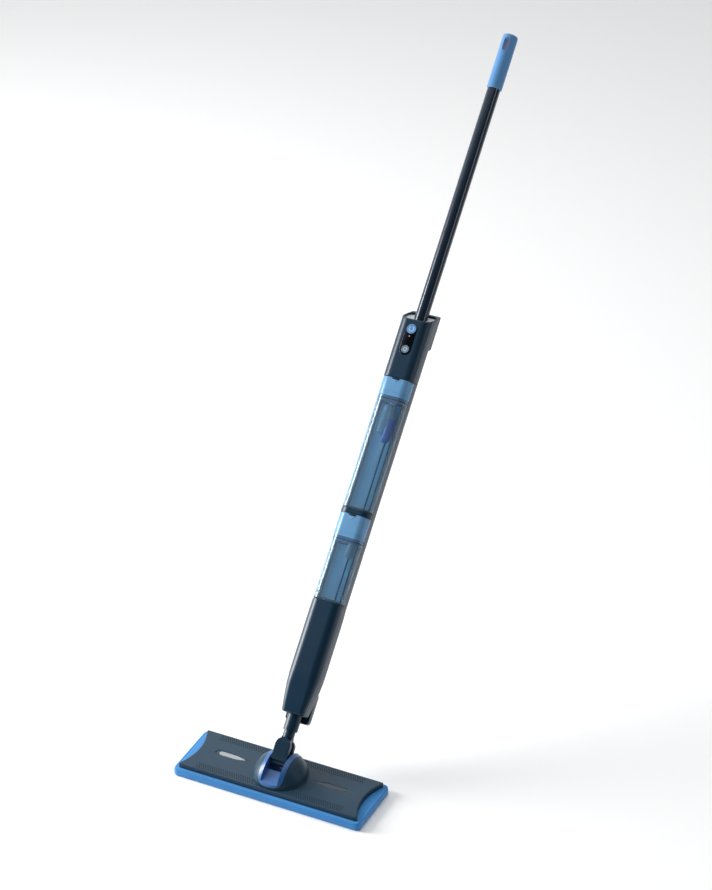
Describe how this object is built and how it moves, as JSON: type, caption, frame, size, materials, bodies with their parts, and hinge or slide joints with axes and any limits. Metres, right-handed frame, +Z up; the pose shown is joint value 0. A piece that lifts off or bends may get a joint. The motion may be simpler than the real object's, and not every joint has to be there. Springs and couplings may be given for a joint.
{
  "type": "cordless flat mop",
  "caption": "Cordless flat mop with clear clean and dirty water tanks on a slim pole, a swivelling rectangular head and a thick microfibre pad",
  "frame": {"origin": "centre of the pad's underside, on the floor", "axes": "+X along the head's length, -Y the front with the buttons, +Z up; the pole leans back towards +Y by 43 degrees"},
  "size_m": [0.336, 0.923, 0.9725],
  "materials": {
    "navy_plastic": "fine matt texture",
    "plate_plastic": "fine matt texture",
    "light_blue_plastic": "satin",
    "liner_plastic": "satin",
    "clear_blue_plastic": "clear tinted plastic",
    "cap_plastic": "translucent blue, satin",
    "tube_metal": "navy coat, glossy",
    "pad_fabric": "microfibre",
    "hook_nylon": "hook strip",
    "steel": "bright",
    "collar_plastic": "pale satin",
    "panel_gloss": "piano black",
    "grey_button": "satin",
    "lamp": "frosted light pipe",
    "circuit_board": "solder mask",
    "inner_plastic": "plain moulded",
    "cell_wrap": "shrink wrap",
    "seal_rubber": "soft",
    "hose_silicone": "translucent",
    "wire": "insulated",
    "window_gloss": "high gloss",
    "concentrate": "cleaning concentrate",
    "pump_metal": "motor can"
  },
  "bodies": {
    "pole": {"battery_cells": "cell_wrap", "battery_tray": "inner_plastic", "button_board": "circuit_board", "charging_port": "inner_plastic", "control_board": "circuit_board", "display_panel": "panel_gloss", "divider_ring": "navy_plastic", "grip": "light_blue_plastic", "handle_tube": "tube_metal", "housing_screws": "steel", "lower_housing_front": "navy_plastic", "lower_housing_rear": "navy_plastic", "neck_stem": "navy_plastic", "neck_tube": "navy_plastic", "outlet_gasket": "seal_rubber", "spine_channel": "navy_plastic", "spine_web": "navy_plastic", "status_led": "lamp", "suction_hose": "hose_silicone", "suction_pump_head": "inner_plastic", "suction_pump_motor": "pump_metal", "top_collar": "collar_plastic", "tube_socket": "inner_plastic", "upper_housing_front": "navy_plastic", "upper_housing_rear": "navy_plastic", "water_hose": "hose_silicone", "water_pump_head": "inner_plastic", "water_pump_motor": "pump_metal", "wire_harness": "wire"},
    "knuckle": {"knuckle_fork": "navy_plastic", "roll_pin": "steel"},
    "head": {"mop_pad": "pad_fabric", "hook_strips": "hook_nylon", "base_tray": "plate_plastic", "base_cover": "plate_plastic", "flow_window_left": "window_gloss", "flow_window_right": "window_gloss", "water_manifold": "inner_plastic", "swivel_dome": "plate_plastic", "dome_liner": "liner_plastic", "pitch_pin": "steel", "base_screws": "steel"},
    "clean_tank": {"clean_tank_shell": "clear_blue_plastic", "clean_tank_cap": "cap_plastic", "clean_tank_seal": "seal_rubber", "outlet_valve": "inner_plastic", "cartridge_sleeve": "clear_blue_plastic", "cartridge_concentrate": "concentrate"},
    "dirty_tank": {"dirty_tank_shell": "clear_blue_plastic", "dirty_tank_cap": "cap_plastic", "dirty_tank_seal": "seal_rubber", "float_cage": "inner_plastic"},
    "float": {"float_puck": "inner_plastic"},
    "power_key": {"power_button": "light_blue_plastic"},
    "mode_key": {"mode_button": "grey_button"},
    "release_key": {"tube_release": "navy_plastic"},
    "flap": {"port_flap": "seal_rubber"},
    "water_rotor": {"water_pump_rotor": "pump_metal"},
    "suction_rotor": {"suction_pump_rotor": "pump_metal"}
  },
  "joints": [
    {"name": "knuckle_roll", "type": "hinge", "parent": "pole", "child": "knuckle", "pos_m": [0, 0.01705, 0.06328], "axis": [0, -0.7314, 0.682], "range_deg": [-45, 45]},
    {"name": "head_pitch", "type": "hinge", "parent": "knuckle", "child": "head", "pos_m": [0, 0, 0.045], "axis": [1, 0, 0], "range_deg": [-100, 32]},
    {"name": "clean_tank_pull", "type": "slide", "parent": "pole", "child": "clean_tank", "axis": [0, -0.7314, 0.682], "range_m": [0, 0.08]},
    {"name": "dirty_tank_pull", "type": "slide", "parent": "pole", "child": "dirty_tank", "axis": [0, -0.7314, 0.682], "range_m": [0, 0.08]},
    {"name": "float_rise", "type": "slide", "parent": "dirty_tank", "child": "float", "axis": [0, 0.682, 0.7314], "range_m": [0, 0.006]},
    {"name": "power_press", "type": "slide", "parent": "pole", "child": "power_key", "axis": [0, 0.7314, -0.682], "range_m": [0, 0.001], "stiffness_N_per_m": 600, "springref_m": -0.0005},
    {"name": "mode_press", "type": "slide", "parent": "pole", "child": "mode_key", "axis": [0, 0.7314, -0.682], "range_m": [0, 0.001], "stiffness_N_per_m": 600, "springref_m": -0.0005},
    {"name": "release_press", "type": "slide", "parent": "pole", "child": "release_key", "axis": [0, -0.7314, 0.682], "range_m": [0, 0.0012], "stiffness_N_per_m": 600, "springref_m": -0.0005},
    {"name": "flap_open", "type": "hinge", "parent": "pole", "child": "flap", "pos_m": [0, 0.11365, 0.14166], "axis": [1, 0, 0], "range_deg": [0, 110]},
    {"name": "water_rotor_spin", "type": "hinge", "parent": "pole", "child": "water_rotor", "pos_m": [-0.0123, 0.14297, 0.20565], "axis": [0, 0.682, 0.7314], "continuous": true},
    {"name": "suction_rotor_spin", "type": "hinge", "parent": "pole", "child": "suction_rotor", "pos_m": [0.0123, 0.14297, 0.20565], "axis": [0, 0.682, 0.7314], "continuous": true}
  ]
}
